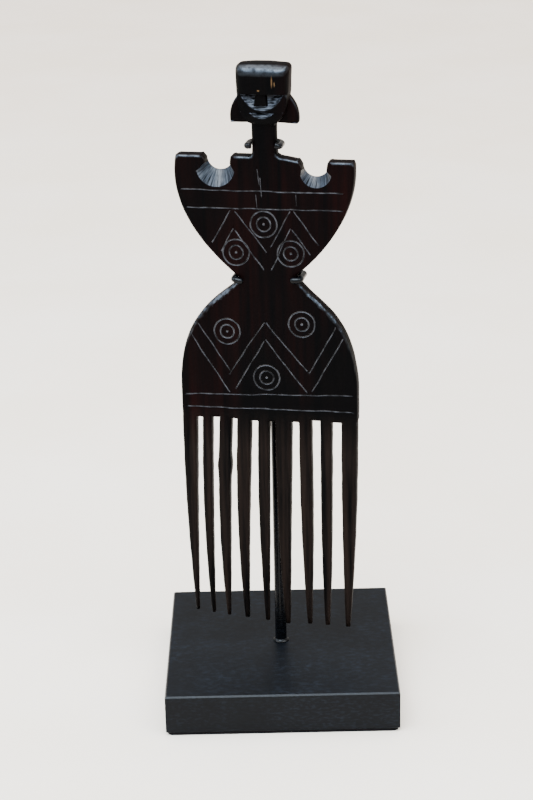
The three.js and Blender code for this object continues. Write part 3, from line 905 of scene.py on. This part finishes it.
# Pairs of colours, from the darker to the paler part of a pattern.
DARK_GRAIN = (0.0003, 0.0002, 0.0002), (0.0009, 0.0005, 0.0004)
BROWN_GRAIN = (0.0003, 0.0001, 0.0001), (0.0056, 0.0008, 0.0005)
DRY_GRAIN = (0.0006, 0.0005, 0.0005), (0.0098, 0.0062, 0.0048)
SAPWOOD = (0.06, 0.033, 0.015), (0.15, 0.088, 0.04)
PALE_DUST = (0.008, 0.0075, 0.008), (0.072, 0.071, 0.078)
# filed bevels: bare wood with a painted bluish highlight
FILED_PAINTED_HIGHLIGHT = (0.002, 0.0024, 0.003), (0.034, 0.044, 0.06)
# pared hollows: bare wood with a painted bluish highlight
PARED_PAINTED_HIGHLIGHT = (0.002, 0.0023, 0.003), (0.03, 0.038, 0.055)
ROD_BLACK = (0.0008, 0.001, 0.0014), (0.0016, 0.002, 0.0028)
BLOCK_BLACK = (0.001, 0.0014, 0.0023), (0.0018, 0.0025, 0.0038)
FELT_BLACK = (0.001, 0.001, 0.0013), (0.005, 0.005, 0.006)
ZINC = (0.42, 0.42, 0.43), (0.62, 0.62, 0.63)
FLOOR_TONES = (0.93, 0.8, 0.66), (0.96, 0.84, 0.72)

FINE_BUMP_M = 0.0001  # depth of the finest surface texture, in metres


def new_material(name):
    """A material with one principled shader; returns it, its node tree and the shader."""
    material = bpy.data.materials.new(name)
    material.use_nodes = True
    tree = material.node_tree
    return material, tree, tree.nodes["Principled BSDF"]


def set_input(tree, socket, value):
    """Links a socket to another node's output, or gives it a plain value."""
    if isinstance(value, bpy.types.NodeSocket):
        tree.links.new(value, socket)
    else:
        socket.default_value = value


def set_inputs(tree, node, **inputs):
    """Sets a node's inputs by name, with _ for each space."""
    for name, value in inputs.items():
        set_input(tree, node.inputs[name.replace("_", " ")], value)


def add_node(tree, kind, **inputs):
    node = tree.nodes.new("ShaderNode" + kind)
    set_inputs(tree, node, **inputs)
    return node


def calculate(tree, operation, *values):
    """The result of one arithmetic operation on numbers and other nodes' outputs."""
    node = add_node(tree, "Math")
    node.operation = operation
    for socket, value in zip(node.inputs, values):
        set_input(tree, socket, value)
    return node.outputs["Value"]


def coordinate(tree, kind):
    """The object's own coordinates or its normals: kind is Object or Normal."""
    return add_node(tree, "TexCoord").outputs[kind]


def object_noise(tree, scale, stretch=(1, 1, 1), detail=4.0, roughness=0.55):
    """Noise fixed to the object, with its own scale and stretch along each axis."""
    place = add_node(tree, "Mapping", Vector=coordinate(tree, "Object"), Scale=stretch)
    noise = add_node(tree, "TexNoise", Vector=place.outputs["Vector"], Scale=scale, Detail=detail,
                     Roughness=roughness)
    return noise.outputs["Fac"]


def ramp(tree, value, start, end, low, high):
    """Goes from one colour to another while a value goes from start to end; a number is a grey."""
    node = add_node(tree, "ValToRGB", Fac=value)
    for element, position, color in zip(node.color_ramp.elements, (start, end), (low, high)):
        element.position = position
        element.color = (*color, 1) if isinstance(color, tuple) else (color, color, color, 1)
    return node.outputs["Color"]


def spread(tree, value, low, high, start=0, end=1):
    """Goes from low to high while a value goes from start to end."""
    node = add_node(tree, "MapRange", Value=value, From_Min=start, From_Max=end,
                    To_Min=low, To_Max=high)
    return node.outputs["Result"]


def blend_colors(tree, factor, first, second):
    node = add_node(tree, "Mix")
    node.data_type = "RGBA"
    set_inputs(tree, node, Factor=factor, A=first, B=second)
    return node.outputs["Result"]


def bump(tree, height, strength, depth_m=FINE_BUMP_M):
    node = add_node(tree, "Bump", Height=height, Strength=strength, Distance=depth_m)
    return node.outputs["Normal"]


def axis_part(tree, vector, axis):
    return add_node(tree, "SeparateXYZ", Vector=vector).outputs[axis]


def rounded_edges(tree):
    """1 on surfaces that slope like a rounded upper edge, and little on upright or level ones."""
    rise = axis_part(tree, add_node(tree, "NewGeometry").outputs["Normal"], "Z")
    rising = spread(tree, rise, 0, 1, 0.1, 0.4)
    not_level = spread(tree, rise, 1, 0.2, 0.8, 0.97)
    return calculate(tree, "MULTIPLY", rising, not_level)


def faces_out(tree):
    """1 on surfaces that face forwards or backwards, and 0 on the side walls between them."""
    forward = axis_part(tree, coordinate(tree, "Normal"), "Y")
    return spread(tree, calculate(tree, "ABSOLUTE", forward), 0, 1, 0.15, 0.5)


def fleck(tree, centre, half_width, half_height):
    """A soft upright spot around a place given in millimetres: 1 in its middle and 0 outside."""
    sizes = (half_width, FLECK_DEPTH, half_height)
    middle = (centre[0], MIDDLE_Y - HEAD_HALF, centre[1])
    place = add_node(tree, "Mapping", Vector=coordinate(tree, "Object"),
                     Scale=[1 / (size * MM) for size in sizes],
                     Location=[-at / size for at, size in zip(middle, sizes)])
    reach = add_node(tree, "VectorMath")
    reach.operation = "LENGTH"
    set_inputs(tree, reach, Vector=place.outputs["Vector"])
    return spread(tree, reach.outputs["Value"], 1, 0, 0.3, 1)


def below_body(tree):
    """1 along the teeth, whose wood is drier and a little paler, and 0 in the body above them."""
    height = axis_part(tree, coordinate(tree, "Object"), "Z")
    return spread(tree, height, 1, 0, (SLOT_TOP - 12) * MM, (SLOT_TOP + 3) * MM)


def ebony():
    """Nearly black wood with fine upright reddish-brown grain, polished along its upper edges."""
    material, tree, shader = new_material("ebony")
    streaks = object_noise(tree, 420, (1, 1, 0.035), 6, 0.6)
    patches = object_noise(tree, 38, (1, 1, 0.35), 3)
    dark = ramp(tree, streaks, 0.35, 0.7, *DARK_GRAIN)
    brown = ramp(tree, streaks, 0.32, 0.66, *BROWN_GRAIN)
    color = blend_colors(tree, ramp(tree, patches, 0.42, 0.66, 0, 1), dark, brown)
    dry = ramp(tree, streaks, 0.36, 0.64, *DRY_GRAIN)
    color = blend_colors(tree, below_body(tree), color, dry)
    tan = ramp(tree, streaks, 0.34, 0.56, *SAPWOOD)
    for place in FLECKS:
        color = blend_colors(tree, fleck(tree, *place), color, tan)
    patchy = ramp(tree, object_noise(tree, 500), 0.36, 0.56, 0.35, 1)
    polish = calculate(tree, "MULTIPLY", rounded_edges(tree), patchy)
    polish = calculate(tree, "MULTIPLY", polish, faces_out(tree))
    set_inputs(tree, shader, Base_Color=color, Roughness=spread(tree, polish, 0.56, 0.25),
               Specular_IOR_Level=spread(tree, polish, 0.03, 0.55),
               Specular_Tint=(0.78, 0.87, 1.0, 1), Normal=bump(tree, streaks, 0.2))
    return material


def engraved_wood():
    """The floor of the scratched lines, where pale dust and bare fibres show."""
    material, tree, shader = new_material("engraved_wood")
    grit = object_noise(tree, 420)
    color = ramp(tree, grit, 0.36, 0.64, *PALE_DUST)
    set_inputs(tree, shader, Base_Color=color, Roughness=0.8, Specular_IOR_Level=0.2,
               Normal=bump(tree, grit, 0.3))
    return material


def file_marks(tree):
    """Noise in thin streaks that run outwards from a place near the centre of each notch."""
    centre_x = 16.2 * MM
    centre_z = (SHOULDER - 2) * MM
    place = coordinate(tree, "Object")
    x = axis_part(tree, place, "X")
    middle = calculate(tree, "MULTIPLY", calculate(tree, "SIGN", x), centre_x)
    across = calculate(tree, "SUBTRACT", x, middle)
    above = calculate(tree, "SUBTRACT", axis_part(tree, place, "Z"), centre_z)
    angle = calculate(tree, "ARCTAN2", above, across)
    squares = [calculate(tree, "MULTIPLY", part, part) for part in (across, above)]
    radius = calculate(tree, "POWER", calculate(tree, "ADD", *squares), 0.5)
    around = calculate(tree, "MULTIPLY", angle, 11)
    outwards = calculate(tree, "MULTIPLY", radius, 120)
    polar = add_node(tree, "CombineXYZ", X=around, Y=outwards)
    noise = add_node(tree, "TexNoise", Vector=polar.outputs["Vector"], Scale=1.6, Detail=5,
                     Roughness=0.65)
    return noise.outputs["Fac"]


def filed_wood_painted_highlight():
    """The bevelled notches, left with the file's marks; their paler bluish colour is a painted
    highlight.
    """
    material, tree, shader = new_material("filed_wood_painted_highlight")
    marks = file_marks(tree)
    # the paler bluish colour on the file marks is a painted highlight on the bare wood
    color = ramp(tree, marks, 0.38, 0.62, *FILED_PAINTED_HIGHLIGHT)
    gloss = ramp(tree, marks, 0.4, 0.6, 0.15, 1)
    rubbed = ramp(tree, object_noise(tree, 150, detail=2), 0.4, 0.6, 0.25, 1)
    set_inputs(tree, shader, Base_Color=color, Roughness=0.4,
               Specular_IOR_Level=calculate(tree, "MULTIPLY", gloss, rubbed),
               Normal=bump(tree, marks, 0.5, 1.5 * FINE_BUMP_M))
    return material


def scooped_wood_painted_highlight():
    """The hollows of the face and the lower lip, pared with short strokes across the grain; their
    paler bluish colour is a painted highlight.
    """
    material, tree, shader = new_material("scooped_wood_painted_highlight")
    strokes = object_noise(tree, 1700, (0.18, 1, 1), 3)
    # the paler bluish colour on the strokes is a painted highlight on the pared wood
    color = ramp(tree, strokes, 0.4, 0.62, *PARED_PAINTED_HIGHLIGHT)
    gloss = ramp(tree, strokes, 0.42, 0.6, 0.05, 0.45)
    set_inputs(tree, shader, Base_Color=color, Roughness=0.4, Specular_IOR_Level=gloss,
               Normal=bump(tree, strokes, 0.6, 1.5 * FINE_BUMP_M))
    return material


def black_paint(name, low, high, roughness):
    """Satin black paint with a faint orange-peel texture, fine paler specks and rubbed edges."""
    material, tree, shader = new_material(name)
    gloss = 0.09
    peel = object_noise(tree, 900, detail=3)
    cloud = object_noise(tree, 60)
    grit = object_noise(tree, 1300, (0.4, 1, 1), 2)
    body = ramp(tree, cloud, 0.3, 0.7, low, high)
    pale = ramp(tree, cloud, 0.3, 0.7, high, tuple(3.2 * value for value in high))
    specks = ramp(tree, grit, 0.48, 0.68, 0, 1)
    set_inputs(tree, shader, Base_Color=blend_colors(tree, specks, body, pale),
               Roughness=spread(tree, peel, roughness - 0.07, roughness + 0.09),
               Specular_IOR_Level=spread(tree, rounded_edges(tree), gloss, 2.2 * gloss),
               Normal=bump(tree, peel, 0.2))
    return material


def felt():
    """Pressed black felt with short fibres."""
    material, tree, shader = new_material("felt")
    fibres = object_noise(tree, 1600, detail=5, roughness=0.7)
    set_inputs(tree, shader, Base_Color=ramp(tree, fibres, 0.3, 0.75, *FELT_BLACK), Roughness=0.95,
               Specular_IOR_Level=0.03, Sheen_Weight=0.05, Sheen_Roughness=0.6,
               Normal=bump(tree, fibres, 0.8, 3 * FINE_BUMP_M))
    return material


def bright_steel():
    """Zinc-plated steel with faint machining marks."""
    material, tree, shader = new_material("bright_steel")
    marks = object_noise(tree, 1200, (1, 1, 6), 3)
    set_inputs(tree, shader, Base_Color=ramp(tree, marks, 0.3, 0.7, *ZINC), Metallic=1,
               Roughness=spread(tree, marks, 0.25, 0.45))
    return material


# -------------------- pieces

def repaint(node, material):
    """Gives a CAD node one material."""
    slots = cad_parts[node].data.materials
    slots.clear()
    slots.append(material)


def soften_edges(node, width):
    """Rounds the sharp edges of a CAD node by a width in millimetres."""
    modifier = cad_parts[node].modifiers.new("soft_edges", "BEVEL")
    modifier.width = width * MM
    modifier.segments = 3
    modifier.limit_method = "ANGLE"
    modifier.angle_limit = math.radians(30)


def build_comb():
    """The comb, with its four materials in the order of their slots; the filed and the pared ones
    carry a painted highlight.
    """
    mesh = comb_mesh()
    tidy_mesh(mesh, 38)
    for material in (ebony(), engraved_wood(), filed_wood_painted_highlight(), scooped_wood_painted_highlight()):
        mesh.materials.append(material)
    add_piece("carved_comb", mesh, "swivel", "comb")


def build_rod_and_claws():
    """The rod and both wires, which lie against the comb where their CAD nodes do."""
    paint = black_paint("rod_paint", *ROD_BLACK, 0.21)
    waist_reach = (waist_wire_high[0] - waist_wire_low[0]) / 2 - WIRE_RADIUS
    neck_reach = (neck_wire_high[0] - neck_wire_low[0]) / 2 - WIRE_RADIUS
    waist_height = (waist_wire_low[2] + waist_wire_high[2]) / 2
    neck_height = (neck_wire_low[2] + neck_wire_high[2]) / 2
    neck_back = MIDDLE_Y - BODY_HALF + NECK_DEPTH
    waist = claw_mesh("waist_wire", 0, waist_height, 0.3, (0.5, 0.1), [
        (8.8, WIRE_FRONT), (waist_reach, WIRE_FRONT), (waist_reach, WIRE_BACK),
    ])
    neck = claw_mesh("neck_wire", NECK_X, neck_height, 0, (-0.1, -0.35), [
        (4.1, WIRE_FRONT), (neck_reach, WIRE_FRONT), (neck_reach, neck_back + 0.1),
        (1.6, WIRE_BACK),
    ])
    for mesh, node in ((waist, "waist_claw"), (neck, "neck_claw"), (rod_mesh(), "support_rod")):
        tidy_mesh(mesh, 40)
        mesh.materials.append(paint)
        add_piece(mesh.name, mesh, "swivel", node)


LIGHT_DISTANCE_M = 1.15
CAMERA_DISTANCE_M = 0.6579


def build_stage():
    """A plain pale floor."""
    bpy.ops.mesh.primitive_plane_add(size=60, location=(0, 2, 0))
    floor = bpy.context.object
    floor.name = "floor"
    material, tree, shader = new_material("floor")
    color = ramp(tree, object_noise(tree, 9), 0.35, 0.65, *FLOOR_TONES)
    set_inputs(tree, shader, Base_Color=color, Roughness=0.9, Specular_IOR_Level=0.1)
    floor.data.materials.append(material)


def towards(azimuth, elevation):
    """A unit vector, from angles in degrees; azimuth 0 is in front and grows to the right."""
    turn, rise = math.radians(azimuth), math.radians(elevation)
    level = math.cos(rise)
    return Vector((math.sin(turn) * level, -math.cos(turn) * level, math.sin(rise)))


def add_light(name, kind, power, color):
    light = bpy.data.lights.new(name, kind)
    light.energy = power
    light.color = color
    return light, add_object(name, light)


def add_soft_light(name, azimuth, elevation, size, power):
    """A square, bluish, soft light that aims at the middle of the comb."""
    light, holder = add_light(name, "AREA", power, (0.68, 0.84, 1.0))
    light.size = size
    away = towards(azimuth, elevation)
    holder.location = Vector((0, 0, 0.5 * cad_bounds[1][2])) + away * LIGHT_DISTANCE_M
    holder.rotation_euler = away.to_track_quat("Z", "Y").to_euler()


def build_lights():
    """A warm room, a pale overhead light and three cooler windows."""
    world = bpy.data.worlds.new("studio")
    bpy.context.scene.world = world
    world.use_nodes = True
    background = world.node_tree.nodes["Background"]
    background.inputs["Color"].default_value = (1.0, 0.96, 0.9, 1)
    background.inputs["Strength"].default_value = 0.75
    add_soft_light("front_sky", -22, 56, 0.85, 28)
    add_soft_light("left_sky", -88, 32, 0.7, 10)
    add_soft_light("right_sky", 46, 42, 0.5, 8)
    overhead, _ = add_light("overhead", "SUN", 5.6, (0.94, 0.97, 1.0))
    overhead.angle = math.radians(70)


def build_camera():
    """The photograph's view: a long lens, a little above the comb, rolled very slightly."""
    roll = math.radians(-1.29)
    target = Vector((-3.3 * MM, 0, 0.47715 * cad_bounds[1][2]))
    back = towards(0.2, 20.9)
    right = (-back).cross(Vector((0, 0, 1))).normalized()
    up = right.cross(-back)
    rolled_right = right * math.cos(roll) + up * math.sin(roll)
    rolled_up = up * math.cos(roll) - right * math.sin(roll)
    data = bpy.data.cameras.new("camera")
    data.sensor_width = 36
    data.lens = 86.78
    camera = add_object("camera", data)
    axes = Matrix((rolled_right, rolled_up, back)).transposed()
    camera.matrix_world = Matrix.Translation(target + back * CAMERA_DISTANCE_M) @ axes.to_4x4()
    bpy.context.scene.camera = camera


build_camera()
build_stage()
build_lights()
build_comb()
build_rod_and_claws()
repaint("base_block", black_paint("block_paint", *BLOCK_BLACK, 0.42))
soften_edges("base_block", 0.3)
repaint("felt_pad", felt())
steel = bright_steel()
for fixing in ("washer", "fixing_nut"):
    repaint(fixing, steel)
    soften_edges(fixing, 0.12)
